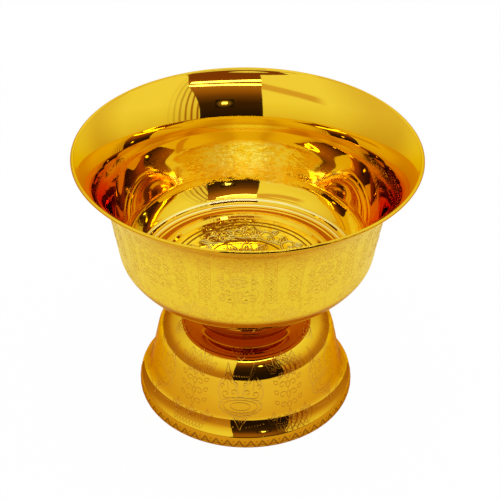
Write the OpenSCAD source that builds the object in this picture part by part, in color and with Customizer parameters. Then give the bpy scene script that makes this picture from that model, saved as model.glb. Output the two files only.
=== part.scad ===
// Footed offering bowl: a spun bowl with a flared lip, a spool neck and a bell
// foot, clamped together by a rod that hangs from the underside of the bowl.
// Every spun piece is a path of corners, each with its own bend radius, that
// takes the thickness of its sheet and is turned about the Z axis. A bend
// radius is that of the outside face, or of the tighter face where it is said.
// The origin is the centre of the foot's underside, and +Z points up.

/* [Overall] */
// Radius over the bead of the mouth
rim_r = 110; // [100:1:120]
// Height of the bead's top above the table
total_h = 185; // [175:1:195]

/* [Bowl] */
// Thickness of the bowl's sheet
bowl_sheet = 0.9; // [0.6:0.1:1.2]
// Height of the underside of the bowl's floor
bowl_floor_z = 96; // [94:0.5:97]
// Radius of the flat floor
bowl_floor_r = 54.4; // [52:0.4:56]
// Width of the slope from the floor up to the rib round it
rib_in = 1.8; // [1.5:0.1:2.2]
// Height of the rib above the floor
rib_h = 1.8; // [1.2:0.1:2]
// Width of the rib's top
rib_top = 3.2; // [2.8:0.2:4]
// Width of the slope from the rib down to the ledge
rib_out = 3.2; // [2.6:0.2:4]
// Bend radius of the rib's tighter faces
rib_bend = 0.6; // [0.3:0.1:0.7]
// Height of the ledge above the floor
ledge_h = 0.3; // [0:0.1:0.6]
// Width of the ledge, from the rib's foot to where it would meet the cove
ledge_w = 6.2; // [5.4:0.2:7]
// Bend radius of the tighter face between the ledge and the cove
ledge_bend = 7; // [5:0.5:9]
// How far the cove's middle corner stands out from the ledge's end
cove_mid_w = 7.6; // [7:0.2:8.2]
// Height of that corner above the floor
cove_mid_h = 6.5; // [6:0.25:7.25]
// Bend radius at that corner
cove_mid_bend = 39; // [28:1:44]
// How far the foot of the upright wall stands out from that corner
wall_base_w = 6.2; // [5.6:0.2:6.8]
// Height of that meeting point above the floor
cove_h = 16; // [15.5:0.25:17]
// Bend radius between the cove and the wall
cove_bend = 18; // [12:1:24]
// Outward lean of the upright wall in degrees
wall_lean = 8.8; // [7.4:0.1:9.4]

/* [Lip] */
// Outward lean of the lip at the bead in degrees
lip_lean = 50.7; // [47:0.1:54]
// Bend radius of the lip
lip_bend = 62; // [40:1:62]
// Radius of the bead at the edge
bead_r = 1.1; // [0.8:0.1:1.4]

/* [Neck] */
// Thickness of the neck's sheet
neck_sheet = 1; // [0.8:0.1:1.4]
// Radius over the neck's two flanges
neck_flange_r = 34; // [32:0.5:35]
// Radius of the neck's waist
neck_waist_r = 26.5; // [25:0.5:28]
// Bend radius from each flange into the waist
neck_bend = 9; // [6:0.5:10]
// How much wider the neck is at those bends than at its waist
neck_throat = 1.5; // [1:0.25:2]
// Bend radius of the waist
waist_bend = 27; // [20:1:40]

/* [Foot] */
// Thickness of the foot's sheet
foot_sheet = 1; // [0.8:0.1:1.4]
// Height of the crest of the foot's dome
dome_z = 62.1; // [60:0.1:64]
// Bend radius of the dome's shoulder
dome_bend = 21; // [16:0.1:22]
// Depth of the seat that the neck stands in
seat_depth = 2.4; // [1.6:0.1:3]
// Gap round the neck's lower flange in its seat
seat_gap = 0.3; // [0.2:0.05:0.5]
// Bend radius of the tighter face at the edge of the seat
seat_bend = 1; // [0.6:0.1:1.2]
// Bend radius at the foot of the seat's wall
seat_root = 0.4; // [0.2:0.1:0.6]
// Outward lean of the seat's wall over its height
seat_lean = 0.9; // [0.6:0.1:1.2]
// Radius where the foot's wall would meet the flare
flare_r = 66.3; // [65:0.1:67]
// Height of that meeting point
flare_z = 14.1; // [13.4:0.1:15.4]
// Outward lean of the foot's wall in degrees
foot_lean = 11.8; // [10:0.1:13]
// Bend radius between the wall and the flare
flare_bend = 19; // [12:0.5:22]

/* [Foot band] */
// Radius of the band round the foot's edge
band_r = 73.4; // [72.5:0.1:75]
// Height of the band
band_h = 8.6; // [7:0.2:10]
// Height of the band's widest line
band_belly_z = 4.2; // [3:0.1:5]
// How far the band's top edge lies inside its widest line
band_in = 0.9; // [0.5:0.1:1.1]
// Bend radius of the band's belly
belly_bend = 6; // [4:0.5:8]
// Depth of the step between the band and the flare
band_step = 0.3; // [0.2:0.05:0.5]
// Height of that step
step_h = 0.4; // [0.3:0.1:0.8]
// Bend radius of the step's tighter faces
band_bend = 0.4; // [0.2:0.1:0.5]
// How far the band's lower edge lies inside its widest line
edge_in = 0.4; // [0.2:0.1:0.8]
// Bend radius of the tighter face at the band's lower edge
edge_bend = 0.3; // [0.2:0.1:0.8]
// Inner radius of the hem that the foot stands on
hem_r = 66; // [63:0.5:68]

/* [Fastening] */
// Diameter of the clamping rod
rod_d = 6; // [5:0.5:8]
// Chamfer at the rod's end
rod_chamfer = 0.6; // [0.4:0.1:1]
// Radial clearance of a threaded hole round the rod
thread_gap = 0.05; // [0.02:0.01:0.1]
// Radial clearance of a plain hole round the rod
rod_gap = 0.3; // [0.2:0.05:0.5]
// Radius of the plate brazed under the bowl
plate_r = 15; // [12:0.5:18]
// Thickness of that plate
plate_t = 2; // [1.5:0.5:3]
// Radius of the plate's threaded boss
boss_r = 6; // [5.5:0.25:8]
// Height of the threaded boss below the plate
boss_h = 9; // [7:0.5:11]
// Thickness of the clamp dish
dish_t = 1.5; // [1:0.1:2]
// Radius over the clamp dish
dish_r = 30; // [27:0.5:32]
// Width of the dish's flat rim
dish_rim = 4; // [3:0.5:5]
// Radius of the dish's flat centre
dish_hub_r = 11; // [9.5:0.5:13]
// Depth of the dish
dish_depth = 5; // [4:0.5:7]
// Bend radius of the dish's corners
dish_bend = 3; // [2:0.5:4]
// Width of the spring washer's section
washer_w = 2.5; // [2:0.1:3]
// Thickness of the spring washer
washer_t = 1.6; // [1.2:0.1:2]
// Gap where the spring washer is split
washer_split = 1; // [0.6:0.1:1.5]
// Width across the nut's flats
nut_flats = 10; // [9.5:0.5:14]
// Width of the ring that is turned off the nut's corners
nut_turned = 0.7; // [0.4:0.1:0.8]
// Height of that turned slope
nut_slope = 0.4; // [0.3:0.1:0.6]
// Thickness of the nut
nut_t = 5; // [4:0.5:7]
// Length of rod that stands out below the nut
rod_tail = 3; // [2:0.5:4]

/* [Hidden] */

turn_fn = 180;               // segments of a full turn
bend_step = 6;               // degrees from one point of a bend to the next
rod_r = rod_d / 2;
seat_z = dome_z - seat_depth;
dish_top = seat_z - foot_sheet;
hub_under = dish_top - dish_depth - dish_t;
nut_top = hub_under - washer_t;
rod_end_z = nut_top - nut_t - rod_tail;
plate_under = bowl_floor_z - plate_t;

gold = "#e6b422";
brass = "#b08d3c";
steel = "#b8bcc0";

// ---- Paths -----------------------------------------------------------------

function unit(v) = v / norm(v);

// Half the angle between the runs from corner b to its neighbours a and c
function half_angle(a, b, c) = acos(unit(a - b) * unit(c - b)) / 2;

// How far a bend of this radius reaches along the runs on either side
function bend_reach(a, b, c, radius) =
    let (half = half_angle(a, b, c))
    half > 89.9 ? 0 : radius / tan(half);

// Points of the bend at corner b, that starts and ends at reach from it
function bend(a, b, c, reach) =
    reach == 0 ? [b] :
    let (u = unit(a - b),
         w = unit(c - b),
         half = half_angle(a, b, c),
         size = reach * tan(half),
         centre = b + unit(u + w) * size / sin(half),
         first = b + u * reach - centre,
         last = b + w * reach - centre,
         side = cross(first, last) > 0 ? 1 : -1,
         turn = side * acos(min(1, unit(first) * unit(last))),
         start = atan2(first.y, first.x),
         steps = max(2, ceil(abs(turn) / bend_step)))
    [for (i = [0 : steps])
        let (angle = start + turn * i / steps)
        centre + size * [cos(angle), sin(angle)]];

// Path through a list of corners [r, z, bend radius]. Two bends that want
// more of the run between them than it has share it.
function bent(corners) =
    let (last = len(corners) - 1,
         p = [for (c = corners) [c[0], c[1]]],
         wanted = [for (i = [0 : last])
             i == 0 || i == last ? 0 : bend_reach(p[i - 1], p[i], p[i + 1], corners[i][2])],
         share = [for (i = [0 : last - 1])
             min(1, norm(p[i + 1] - p[i]) / max(0.001, wanted[i] + wanted[i + 1]))])
    distinct(concat([p[0]],
        [for (i = [1 : last - 1])
            each bend(p[i - 1], p[i], p[i + 1], wanted[i] * min(share[i - 1], share[i]))],
        [p[last]]));

// Path without points that lie on the one before
function distinct(path) =
    [for (i = [0 : len(path) - 1])
        if (i == 0 || norm(path[i] - path[max(i, 1) - 1]) > 0.001) path[i]];

// Path moved sideways by d, to the left of its direction when d is positive
function beside(path, d) =
    let (last = len(path) - 1)
    [for (i = [0 : last])
        let (before = unit(path[max(i, 1)] - path[max(i, 1) - 1]),
             after = unit(path[min(i, last - 1) + 1] - path[min(i, last - 1)]),
             side = unit([-before.y - after.y, before.x + after.x]))
        path[i] + side * d / (side * [-before.y, before.x])];

function backwards(path) = [for (i = [len(path) - 1 : -1 : 0]) path[i]];

// Sheet that has the path as one of its faces and its thickness on the left
// of the path, or on the right when the thickness is negative
module sheet(path, thickness) {
    polygon(concat(path, backwards(beside(path, thickness))));
}

// ---- Spun outlines ---------------------------------------------------------

// Outside of the bowl, from the centre of its floor to the middle of its bead
function bowl_path() =
    let (z = bowl_floor_z,
         rib_z = z + rib_h,
         ledge_z = z + ledge_h,
         crest = bowl_floor_r + rib_in,
         ledge_r = crest + rib_top + rib_out + ledge_w,
         cove_mid_r = ledge_r + cove_mid_w,
         end = [rim_r - bead_r, total_h - bead_r],
         up = [sin(wall_lean), cos(wall_lean)],
         out = [sin(lip_lean), cos(lip_lean)],
         base = [cove_mid_r + wall_base_w, z + cove_h],
         // where the wall's line meets the lip's line
         run = cross(end - base, out) / cross(up, out),
         lip = base + up * run)
    bent([[0, z, 0],
          [bowl_floor_r, z, rib_bend + bowl_sheet],
          [crest, rib_z, rib_bend],
          [crest + rib_top, rib_z, rib_bend],
          [crest + rib_top + rib_out, ledge_z, rib_bend + bowl_sheet],
          [ledge_r, ledge_z, ledge_bend + bowl_sheet],
          [cove_mid_r, z + cove_mid_h, cove_mid_bend],
          [base.x, base.y, cove_bend],
          [lip.x, lip.y, lip_bend],
          [end.x, end.y, 0]]);

// Outside of the neck, from the edge of its lower flange to the upper one's
function neck_path() =
    let (low = seat_z, high = bowl_floor_z, mid = (low + high) / 2,
         throat_r = neck_waist_r + neck_throat)
    bent([[neck_flange_r, low + neck_sheet, 0],
          [throat_r, low + neck_sheet, neck_bend],
          [neck_waist_r, mid, waist_bend],
          [throat_r, high - neck_sheet, neck_bend],
          [neck_flange_r, high - neck_sheet, 0]]);

// Outside of the foot, from the rod's hole over the dome to the hem
function foot_path() =
    let (seat_r = neck_flange_r + seat_gap,
         up = [-sin(foot_lean), cos(foot_lean)],
         shoulder = [flare_r, flare_z] + up * (dome_z - flare_z) / up.y)
    bent([[rod_r + rod_gap, seat_z, 0],
          [seat_r, seat_z, seat_root],
          [seat_r + seat_lean, dome_z, seat_bend + foot_sheet],
          [shoulder.x, shoulder.y, dome_bend],
          [flare_r, flare_z, flare_bend],
          [band_r - band_in - band_step, band_h + step_h, band_bend],
          [band_r - band_in, band_h, band_bend + foot_sheet],
          [band_r, band_belly_z, belly_bend],
          [band_r - edge_in, 0, edge_bend + foot_sheet],
          [hem_r, 0, 0]]);

// Upper face of the clamp dish, from the rod's hole to its rim
function dish_path() =
    bent([[rod_r + rod_gap, dish_top - dish_depth, 0],
          [dish_hub_r, dish_top - dish_depth, dish_bend],
          [dish_r - dish_rim, dish_top, dish_bend],
          [dish_r, dish_top, 0]]);

// ---- Pieces ----------------------------------------------------------------

// Bowl: floor with its rib and ledge, cove, wall, lip and the bead round the mouth
module bowl_shell() {
    color(gold)
    rotate_extrude($fn = turn_fn) {
        sheet(bowl_path(), bowl_sheet);
        translate([rim_r - bead_r, total_h - bead_r])
            circle(r = bead_r, $fn = 24);
    }
}

// Plate brazed under the bowl's floor, with a blind threaded boss for the rod
module stud_plate() {
    color(brass)
    difference() {
        union() {
            translate([0, 0, plate_under]) cylinder(r = plate_r, h = plate_t, $fn = turn_fn);
            translate([0, 0, plate_under - boss_h])
                cylinder(r = boss_r, h = boss_h + plate_t / 2, $fn = turn_fn);
        }
        translate([0, 0, plate_under - boss_h - 1])
            cylinder(r = rod_r + thread_gap, h = boss_h + 1, $fn = 64);
    }
}

// Rod that pulls the bowl, the neck and the foot together
module clamp_rod() {
    color(steel)
    rotate_extrude($fn = 64)
        polygon([[0, rod_end_z], [rod_r - rod_chamfer, rod_end_z],
                 [rod_r, rod_end_z + rod_chamfer], [rod_r, plate_under], [0, plate_under]]);
}

// Neck: a spool with a flat flange under the bowl and one in the foot's seat
module neck_spool() {
    color(gold)
    rotate_extrude($fn = turn_fn) sheet(neck_path(), neck_sheet);
}

// Foot: seat, dome, wall, flare, ornament band and the hem under it
module foot_shell() {
    color(gold)
    rotate_extrude($fn = turn_fn) sheet(foot_path(), -foot_sheet);
}

// Dished plate that spreads the nut's pull over the top of the foot
module clamp_dish() {
    color(steel)
    rotate_extrude($fn = turn_fn) sheet(dish_path(), -dish_t);
}

// Split spring washer between the dish and the nut
module spring_washer() {
    inner = rod_r + rod_gap;
    color(steel)
    difference() {
        translate([0, 0, nut_top]) cylinder(r = inner + washer_w, h = washer_t, $fn = 96);
        translate([0, 0, nut_top - 1]) cylinder(r = inner, h = washer_t + 2, $fn = 64);
        translate([0, -washer_split / 2, nut_top - 1])
            cube([inner + washer_w + 1, washer_split, washer_t + 2]);
    }
}

// Hexagon nut with its corners turned off
module hex_nut() {
    corner_r = nut_flats / 2 / cos(30);
    color(steel)
    translate([0, 0, nut_top - nut_t])
    difference() {
        intersection() {
            cylinder(r = corner_r, h = nut_t, $fn = 6);
            rotate_extrude($fn = 96)
                polygon([[0, 0], [corner_r - nut_turned, 0], [corner_r, nut_slope],
                         [corner_r, nut_t - nut_slope], [corner_r - nut_turned, nut_t],
                         [0, nut_t]]);
        }
        translate([0, 0, -1]) cylinder(r = rod_r + thread_gap, h = nut_t + 2, $fn = 64);
    }
}

bowl_shell();
stud_plate();
clamp_rod();
neck_spool();
foot_shell();
clamp_dish();
spring_washer();
hex_nut();
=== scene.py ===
"""Dress of a footed offering bowl: spun gold-tone sheet with chased ornament, on a plain pale floor.

All sizes in the classes are millimetres and degrees, and a mesh is scaled to metres as it is made.
"""

import logging
import math
from dataclasses import dataclass
from enum import Enum
from typing import Callable, Iterable, NamedTuple, Sequence

import bpy
import numpy as np
from mathutils import Matrix, Vector

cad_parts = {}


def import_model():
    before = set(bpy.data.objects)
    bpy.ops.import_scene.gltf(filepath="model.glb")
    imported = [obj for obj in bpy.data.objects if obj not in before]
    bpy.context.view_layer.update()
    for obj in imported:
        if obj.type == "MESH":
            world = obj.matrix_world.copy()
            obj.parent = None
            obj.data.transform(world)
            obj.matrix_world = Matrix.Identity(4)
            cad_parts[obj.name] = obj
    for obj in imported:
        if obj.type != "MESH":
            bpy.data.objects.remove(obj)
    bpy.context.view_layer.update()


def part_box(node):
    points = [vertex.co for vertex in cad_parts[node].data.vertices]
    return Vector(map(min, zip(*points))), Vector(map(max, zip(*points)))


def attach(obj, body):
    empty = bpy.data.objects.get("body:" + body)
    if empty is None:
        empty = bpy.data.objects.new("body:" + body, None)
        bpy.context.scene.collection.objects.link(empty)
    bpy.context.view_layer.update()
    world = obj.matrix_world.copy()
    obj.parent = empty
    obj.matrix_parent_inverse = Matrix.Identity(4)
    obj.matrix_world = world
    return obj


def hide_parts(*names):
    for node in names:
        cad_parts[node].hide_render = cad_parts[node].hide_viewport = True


Spot = tuple[float, float]
Place = tuple[float, float, float]
Colour = tuple[float, float, float]

MM = 0.001
SAME_SPOT = 1e-3
TINY = 1e-6
HALF_STRAIGHT = math.radians(89.9)
BOUNCES = 14
GLOSSY_BOUNCES = 12
FLOOR_R = 54.4
RIDGE_PITCH = 3.1
GOLD: Colour = (0.88, 0.60, 0.04)
GOLD_EDGE: Colour = (1.0, 0.72, 0.25)
WHITE: Colour = (1.0, 1.0, 1.0)
LOG = logging.getLogger("offering_bowl")


# ---- Spun outlines -------------------------------------------------------------------------------


class Corner(NamedTuple):
    """Corner of a spun outline: radius, height and bend radius."""

    r: float
    z: float
    bend: float = 0.0


class Outline:
    """Path of straight runs joined by bends, measured along its own length."""

    def __init__(self, corners: Sequence[Corner], step: float = 2.5, run: float = 2.0) -> None:
        """Rounds the corners.

        Args:
            corners: Corners from one end to the other.
            step: Degrees from one point of a bend to the next.
            run: Longest straight piece between two points.
        """
        spots = [Vector((c.r, c.z)) for c in corners]
        last = len(spots) - 1
        wanted = [0.0] * (last + 1)
        for i in range(1, last):
            half = self._half(spots[i - 1], spots[i], spots[i + 1])
            wanted[i] = 0.0 if half > HALF_STRAIGHT else corners[i].bend / math.tan(half)
        share = [min(1.0, (spots[i + 1] - spots[i]).length / max(TINY, wanted[i] + wanted[i + 1]))
                 for i in range(last)]
        rough = [spots[0]]
        for i in range(1, last):
            reach = wanted[i] * min(share[i - 1], share[i])
            rough += self._bend(spots[i - 1], spots[i], spots[i + 1], reach, step)
        rough.append(spots[last])
        self.points: list[Vector] = [rough[0]]
        for spot in rough[1:]:
            gap = (spot - self.points[-1]).length
            if gap < SAME_SPOT:
                continue
            start = self.points[-1]
            pieces = max(1, math.ceil(gap / run))
            self.points += [start.lerp(spot, k / pieces) for k in range(1, pieces + 1)]
        self.lengths: list[float] = [0.0]
        for a, b in zip(self.points, self.points[1:]):
            self.lengths.append(self.lengths[-1] + (b - a).length)

    @staticmethod
    def _half(a: Vector, b: Vector, c: Vector) -> float:
        """Half the angle at b between its runs to a and c, in radians."""
        return (a - b).normalized().angle((c - b).normalized()) / 2

    def _bend(self, a: Vector, b: Vector, c: Vector, reach: float, step: float) -> list[Vector]:
        """Points of one bend.

        Args:
            a: Corner before it.
            b: Corner that it rounds.
            c: Corner after it.
            reach: How far from b it starts and ends.
            step: Degrees from one point to the next.

        Returns:
            Its points, from a's side to c's.
        """
        if reach <= 0:
            return [b]
        u, w = (a - b).normalized(), (c - b).normalized()
        half = self._half(a, b, c)
        size = reach * math.tan(half)
        centre = b + (u + w).normalized() * size / math.sin(half)
        first, final = b + u * reach - centre, b + w * reach - centre
        side = 1.0 if first.x * final.y - first.y * final.x > 0 else -1.0
        turn = side * first.angle(final)
        start = math.atan2(first.y, first.x)
        count = max(2, math.ceil(abs(math.degrees(turn)) / step))
        angles = [start + turn * k / count for k in range(count + 1)]
        return [centre + size * Vector((math.cos(t), math.sin(t))) for t in angles]

    def beside(self, shift: float) -> list[Vector]:
        """Path moved aside.

        Args:
            shift: How far to the left, or to the right when it is negative.

        Returns:
            Its points, one for each of the path's own.
        """
        moved = []
        last = len(self.points) - 1
        for i, spot in enumerate(self.points):
            before = (self.points[max(i, 1)] - self.points[max(i, 1) - 1]).normalized()
            after = (self.points[min(i, last - 1) + 1] - self.points[min(i, last - 1)]).normalized()
            side = Vector((-before.y - after.y, before.x + after.x)).normalized()
            moved.append(spot + side * shift / side.dot(Vector((-before.y, before.x))))
        return moved

    def sheet(self, thickness: float) -> list[Vector]:
        """Closed section of a sheet with this path as one face and its thickness on the left."""
        return list(self.points) + self.beside(thickness)[::-1]

    def many(self, lengths: np.ndarray) -> tuple[np.ndarray, np.ndarray]:
        """Points and left-hand normals at many lengths along the path.

        Args:
            lengths: The lengths.

        Returns:
            The points and the normals, a row for each length.
        """
        spots = np.array([tuple(p) for p in self.points])
        runs = np.diff(spots, axis=0)
        runs /= np.linalg.norm(runs, axis=1)[:, None]
        before, after = np.vstack((runs[:1], runs)), np.vstack((runs, runs[-1:]))
        sides = np.column_stack((-(before + after)[:, 1], (before + after)[:, 0]))
        sides /= np.linalg.norm(sides, axis=1)[:, None]
        place = [np.column_stack([np.interp(lengths, self.lengths, table[:, k]) for k in (0, 1)])
                 for table in (spots, sides)]
        return place[0], place[1]

    def length_at(self, test: Callable[[float, float], bool]) -> float:
        """Length along the path of the first point for which the test of (r, z) is true."""
        return next(s for s, p in zip(self.lengths, self.points) if test(p.x, p.y))


# ---- Mesh helpers --------------------------------------------------------------------------------


def clear_selection() -> None:
    """Leaves edit mode and deselects everything."""
    if bpy.context.object and bpy.context.object.mode != "OBJECT":
        bpy.ops.object.mode_set(mode="OBJECT")
    bpy.ops.object.select_all(action="DESELECT")


def pick(piece: bpy.types.Object) -> None:
    """Makes one object the only selected and active one.

    Args:
        piece: The object.
    """
    clear_selection()
    piece.select_set(True)
    bpy.context.view_layer.objects.active = piece


def dress(piece: bpy.types.Object, material: bpy.types.Material) -> None:
    """Gives a piece one material."""
    piece.data.materials.clear()
    piece.data.materials.append(material)


def spun(name: str, section: Sequence[Vector], steps: int, sharp: float = 35.0) -> bpy.types.Object:
    """Spins a closed section about the Z axis into a smooth-shaded piece.

    Args:
        name: Name of the new object.
        section: Points of radius and height, in order. The last joins the first.
        steps: Faces in a full turn.
        sharp: Degrees between two faces from which their edge stays sharp.

    Returns:
        The new object, with its place in its mesh.
    """
    spots = [(p.x * MM, 0.0, p.y * MM) for p in section]
    mesh = bpy.data.meshes.new(name)
    mesh.from_pydata(spots, [(i, (i + 1) % len(spots)) for i in range(len(spots))], [])
    piece = bpy.data.objects.new(name, mesh)
    bpy.context.scene.collection.objects.link(piece)
    pick(piece)
    bpy.ops.object.mode_set(mode="EDIT")
    bpy.ops.mesh.select_all(action="SELECT")
    bpy.ops.mesh.spin(steps=steps, angle=math.tau, center=(0, 0, 0), axis=(0, 0, 1))
    bpy.ops.mesh.select_all(action="SELECT")
    bpy.ops.mesh.remove_doubles(threshold=2e-6)
    bpy.ops.mesh.normals_make_consistent(inside=False)
    bpy.ops.object.mode_set(mode="OBJECT")
    bpy.ops.object.shade_smooth_by_angle(angle=math.radians(sharp))
    return piece


# ---- Chased drawings -----------------------------------------------------------------------------


class Stroke(NamedTuple):
    """One chased line: its points, its width at each, and whether its ends meet."""

    points: list[Spot]
    widths: list[float]
    closed: bool


class Motif:
    """Flat drawing of chased lines in millimetres, with +y towards the top of the piece.

    A line reaches its full width at 1 / TAPER of its length from each end.
    """

    TAPER = 4.0

    def __init__(self, width: float = 0.8) -> None:
        """Starts an empty drawing.

        Args:
            width: Width of its lines.
        """
        self.width = width
        self.strokes: list[Stroke] = []

    def line(self, points: Sequence[Spot], ends: Spot = (1.0, 1.0),
             closed: bool = False, mirror: bool = False, width: float = 0.0) -> None:
        """Draws a line.

        Args:
            points: Its points.
            ends: Width at its first and last point, as a share of the full width.
            closed: Whether its ends meet.
            mirror: Whether it is drawn again on the other side of x = 0.
            width: Full width, where it isn't the drawing's own.
        """
        points = self.split(list(points), closed)
        count = len(points)
        full = width or self.width
        widths = []
        for i in range(count):
            share = i / max(1, count - 1)
            body = min(1.0, *(end + (1 - end) * near * self.TAPER
                              for end, near in zip(ends, (share, 1 - share))))
            widths.append(full * body)
        self.strokes.append(Stroke(points, widths, closed))
        if mirror:
            self.strokes.append(Stroke([(-x, y) for x, y in points], widths, closed))

    @staticmethod
    def split(points: list[Spot], closed: bool, step: float = 1.4) -> list[Spot]:
        """Adds points, so that a wrapped line follows the surface.

        Args:
            points: Points of the line.
            closed: Whether its ends meet.
            step: Longest straight run between two points.

        Returns:
            The points with the added ones.
        """
        spots = [points[0]]
        for (ax, ay), (bx, by) in zip(points, points[1:] + (points[:1] if closed else [])):
            parts = max(1, math.ceil(math.hypot(bx - ax, by - ay) / step))
            spots += [(ax + (bx - ax) * k / parts, ay + (by - ay) * k / parts) for k in range(1, parts + 1)]
        return spots[:-1] if closed else spots

    def curve(self, points: Sequence[Spot], pieces: int = 4, **style: "float | bool | Spot") -> None:
        """Draws a smooth line through points.

        Args:
            points: The points.
            pieces: Straight pieces from each to the next.
            **style: What line() takes beside its points.
        """
        p = [Vector(q) for q in points]
        p = [p[0] * 2 - p[1], *p, p[-1] * 2 - p[-2]]
        spots = []
        for i in range(1, len(p) - 2):
            for k in range(pieces):
                t = k / pieces
                spots.append(tuple(0.5 * (2 * p[i] + (p[i + 1] - p[i - 1]) * t
                                          + (2 * p[i - 1] - 5 * p[i] + 4 * p[i + 1] - p[i + 2]) * t * t
                                          + (3 * p[i] - p[i - 1] - 3 * p[i + 1] + p[i + 2]) * t ** 3)))
        self.line([*spots, tuple(p[-2])], **style)

    def ring(self, x: float, y: float, across: float, high: float = 0.0, lobes: int = 0, deep: float = 0.0,
             points: int = 20, **style: "float | bool | Spot") -> None:
        """Draws an oval, scalloped where it has lobes.

        Args:
            x: Its middle across the drawing.
            y: Its middle up the drawing.
            across: Half its width.
            high: Half its height, where that differs from half its width.
            lobes: How many scallops it has.
            deep: How far they stand out, as a share of its size.
            points: How many points it has.
            **style: What line() takes beside its points.
        """
        high = high or across
        spots = []
        for k in range(points):
            turn = math.tau * k / points
            size = 1.0 + deep * abs(math.sin(lobes * turn / 2)) if lobes else 1.0
            spots.append((x + across * size * math.cos(turn), y + high * size * math.sin(turn)))
        self.line(spots, closed=True, **style)

    def scroll(self, x: float, y: float, radius: float, start: float, turn: float, points: int = 9,
               inwards: float = 0.8, **style: "float | bool | Spot") -> None:
        """Draws a scroll that winds in towards its middle.

        Args:
            x: Its middle across the drawing.
            y: Its middle up the drawing.
            radius: How far from its middle it starts.
            start: Bearing of its first point, in degrees.
            turn: Degrees that it winds through.
            points: How many points it has.
            inwards: Share of the radius that it winds in by.
            **style: What line() takes beside its points.
        """
        spots = []
        for k in range(points):
            share = k / (points - 1)
            size = radius * (1 - inwards * share)
            angle = math.radians(start + turn * share)
            spots.append((x + size * math.cos(angle), y + size * math.sin(angle)))
        self.line(spots, ends=(0.7, 0.5), **style)

    def leaf(self, x: float, y: float, length: float, width: float, bearing: float = 90.0, rib: bool = True,
             hook: float = 0.0, width_mm: float = 0.0) -> None:
        """Draws a pointed leaf.

        Args:
            x: Where its root is across the drawing.
            y: Where its root is up the drawing.
            length: From its root to its tip.
            width: Across its widest part.
            bearing: Direction that it grows in, in degrees from +x.
            rib: Whether it has a middle rib.
            hook: How far its tip turns aside, as a share of its length.
            width_mm: Width of its lines, where it isn't the drawing's own.
        """
        turn = math.radians(bearing)
        ahead, aside = Vector((math.cos(turn), math.sin(turn))), Vector((-math.sin(turn), math.cos(turn)))

        def at(along: float, off: float) -> Spot:
            """Point of the leaf.

            Args:
                along: Share of the length between its root and the point.
                off: How far it is aside of the middle, as a share of the width.

            Returns:
                The point in the drawing.
            """
            bent = off * width + hook * length * along ** 2
            spot = Vector((x, y)) + ahead * length * along + aside * bent
            return spot.x, spot.y

        edge = ((0.0, 0.0), (0.18, 0.36), (0.42, 0.5), (0.72, 0.28), (1.0, 0.0))
        for side in (1, -1):
            self.curve([at(a, side * o) for a, o in edge], pieces=2, ends=(0.6, 0.5), width=width_mm)
        if rib:
            self.line([at(a, 0.0) for a in (0.12, 0.4, 0.7)], ends=(0.9, 0.4), width=width_mm)

    def bead(self, x: float, y: float, radius: float, mirror: bool = False) -> None:
        """Draws one small bead.

        Args:
            x: Its middle across the drawing.
            y: Its middle up the drawing.
            radius: Its radius.
            mirror: Whether it has a twin on the other side of x = 0.
        """
        for middle in (x, -x) if mirror else (x,):
            self.strokes.append(Stroke([(middle - radius, y), (middle, y), (middle + radius, y)],
                                       [radius * 0.5, radius * 2, radius * 0.5], False))

    def beads(self, points: Sequence[Spot], radius: float, pitch: float) -> None:
        """Draws a chain of beads along a line.

        Args:
            points: Points of the line.
            radius: Radius of one bead.
            pitch: Distance from one bead to the next.
        """
        left = 0.0
        for (ax, ay), (bx, by) in zip(points, points[1:]):
            run = math.hypot(bx - ax, by - ay)
            while left <= run:
                self.bead(ax + (bx - ax) * left / run, ay + (by - ay) * left / run, radius)
                left += pitch
            left -= run

    def model(self, name: str, height: float, bold: float = 1.0) -> bpy.types.Object:
        """Makes the drawing a flat piece of ridged ribs that stand on both sides of z = 0.

        Args:
            name: Name of the piece.
            height: How far the ridges stand up.
            bold: Share by which its lines are widened.

        Returns:
            The piece, still in millimetres.
        """
        data = bpy.data.curves.new(name, "CURVE")
        data.dimensions = "3D"
        data.twist_mode = "Z_UP"
        data.bevel_depth = 0.5
        data.bevel_resolution = 0
        data.use_fill_caps = True
        for stroke in self.strokes:
            spline = data.splines.new("POLY")
            spline.points.add(len(stroke.points) - 1)
            for point, (x, y), width in zip(spline.points, stroke.points, stroke.widths):
                point.co = (x, y, 0.0, 1.0)
                point.radius = width * bold
            spline.use_cyclic_u = stroke.closed
        piece = bpy.data.objects.new(name, data)
        bpy.context.scene.collection.objects.link(piece)
        pick(piece)
        bpy.ops.object.convert(target="MESH")
        piece = bpy.context.object
        low, high = (f([v.co.z for v in piece.data.vertices]) for f in (min, max))
        bpy.ops.object.mode_set(mode="EDIT")
        bpy.ops.mesh.select_all(action="SELECT")
        bpy.ops.transform.resize(value=(1.0, 1.0, 2 * height / (high - low)), center_override=(0.0, 0.0, 0.0))
        bpy.ops.object.mode_set(mode="OBJECT")
        return piece


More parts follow.
